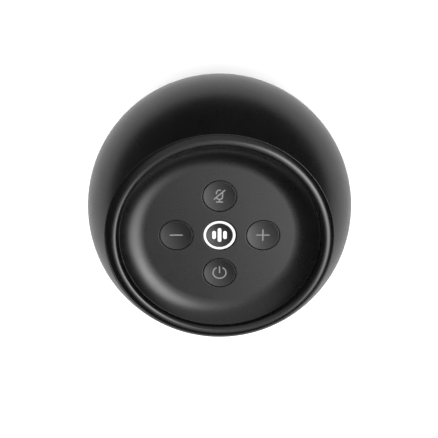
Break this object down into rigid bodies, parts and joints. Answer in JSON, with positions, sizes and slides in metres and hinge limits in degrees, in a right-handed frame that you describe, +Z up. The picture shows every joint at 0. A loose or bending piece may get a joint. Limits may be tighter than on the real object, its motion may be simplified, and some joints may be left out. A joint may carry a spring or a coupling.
{
  "type": "smart home hub",
  "caption": "Ball-shaped black smart home hub with a flattened base, a dished control panel of round buttons around a lit voice button, a slotted sound outlet and a down-firing speaker.",
  "frame": {"origin": "on the table under the centre of the ball, at the middle of the rubber foot's underside", "axes": "+Z up along the ball's vertical axis; -Y is the user's side with the power button; +Y is the back with the microphone-mute button above and the power inlet below; +X is the right with the plus button"},
  "size_m": [0.112, 0.112, 0.0799],
  "materials": {
    "shell_plastic": "satin with a very fine moulded grain",
    "rim_plastic": "satin",
    "panel_plastic": "fine matt",
    "button_plastic": "fine matt",
    "legend_ink": "matt light grey inlay",
    "light_guide": "milky, lit from behind",
    "grille_plastic": "satin",
    "acoustic_cloth": "fine woven acoustic cloth",
    "base_plastic": "matt",
    "foot_rubber": "matt",
    "label_paper": "printed foil, matt",
    "chamber_plastic": "moulded, matt",
    "board_laminate": "solder-masked glass laminate",
    "chip_plastic": "moulded epoxy",
    "connector_plastic": "natural nylon",
    "switch_plastic": "moulded",
    "plunger_plastic": "moulded",
    "led_lens": "clear over yellow phosphor",
    "tin_plate": "tinned",
    "screw_steel": "zinc plated",
    "ribbon_film": "amber film",
    "basket_steel": "black stove enamel",
    "pole_steel": "zinc plated",
    "ferrite": "ground ferrite",
    "cone_paper": "pulp, matt",
    "coil_copper": "enamelled copper wire",
    "surround_rubber": "soft, matt",
    "spider_cloth": "resin-stiffened weave",
    "lead_jacket": "vinyl jacket",
    "pin_metal": "nickel plated"
  },
  "bodies": {
    "housing": {"upper_shell": "shell_plastic", "top_rim": "rim_plastic", "top_panel": "panel_plastic", "grille_ring": "grille_plastic", "inlet_bezel": "grille_plastic", "grille_cloth": "acoustic_cloth", "base_plate": "base_plastic", "baffle_plate": "base_plastic", "diffuser": "base_plastic", "foot_ring": "foot_rubber", "rating_label": "label_paper", "chamber_cup": "chamber_plastic", "control_board": "board_laminate", "main_board": "board_laminate", "main_board_chips": "chip_plastic", "inlet_socket": "chip_plastic", "driver_terminals": "chip_plastic", "board_connectors": "connector_plastic", "switch_bodies": "switch_plastic", "ring_leds": "led_lens", "microphones": "tin_plate", "rf_shield": "tin_plate", "wifi_antenna": "tin_plate", "control_board_screws": "screw_steel", "main_board_screws": "screw_steel", "shell_screws": "screw_steel", "base_screws": "screw_steel", "driver_screws": "screw_steel", "control_ribbon": "ribbon_film", "driver_basket": "basket_steel", "driver_top_plate": "pole_steel", "driver_yoke": "pole_steel", "driver_magnet": "ferrite", "driver_surround": "surround_rubber", "driver_gasket": "surround_rubber", "lead_grommet": "surround_rubber", "driver_spider": "spider_cloth", "power_lead": "lead_jacket", "driver_lead": "lead_jacket", "inlet_pin": "pin_metal"},
    "mute_key": {"mute_button": "button_plastic", "mute_legend": "legend_ink", "mute_switch_plunger": "plunger_plastic"},
    "volume_down_key": {"volume_down_button": "button_plastic", "volume_down_legend": "legend_ink", "volume_down_switch_plunger": "plunger_plastic"},
    "volume_up_key": {"volume_up_button": "button_plastic", "volume_up_legend": "legend_ink", "volume_up_switch_plunger": "plunger_plastic"},
    "power_key": {"power_button": "button_plastic", "power_legend": "legend_ink", "power_switch_plunger": "plunger_plastic"},
    "assistant_key": {"assistant_button": "button_plastic", "assistant_legend": "light_guide", "assistant_light_ring": "light_guide", "assistant_switch_plunger": "plunger_plastic"},
    "driver_moving": {"driver_cone": "cone_paper", "driver_dust_cap": "cone_paper", "voice_coil": "coil_copper"}
  },
  "joints": [
    {"name": "mute_press", "type": "slide", "parent": "housing", "child": "mute_key", "axis": [0, 0, -1], "range_m": [0, 0.0005], "stiffness_N_per_m": 2500, "springref_m": -0.0001},
    {"name": "volume_down_press", "type": "slide", "parent": "housing", "child": "volume_down_key", "axis": [0, 0, -1], "range_m": [0, 0.0005], "stiffness_N_per_m": 2500, "springref_m": -0.0001},
    {"name": "volume_up_press", "type": "slide", "parent": "housing", "child": "volume_up_key", "axis": [0, 0, -1], "range_m": [0, 0.0005], "stiffness_N_per_m": 2500, "springref_m": -0.0001},
    {"name": "power_press", "type": "slide", "parent": "housing", "child": "power_key", "axis": [0, 0, -1], "range_m": [0, 0.0005], "stiffness_N_per_m": 2500, "springref_m": -0.0001},
    {"name": "assistant_press", "type": "slide", "parent": "housing", "child": "assistant_key", "axis": [0, 0, -1], "range_m": [0, 0.0005], "stiffness_N_per_m": 2500, "springref_m": -0.0001},
    {"name": "cone_stroke", "type": "slide", "parent": "housing", "child": "driver_moving", "axis": [0, 0, -1], "range_m": [-0.002, 0.002], "stiffness_N_per_m": 1200, "deforming": ["driver_surround", "driver_spider"]}
  ]
}
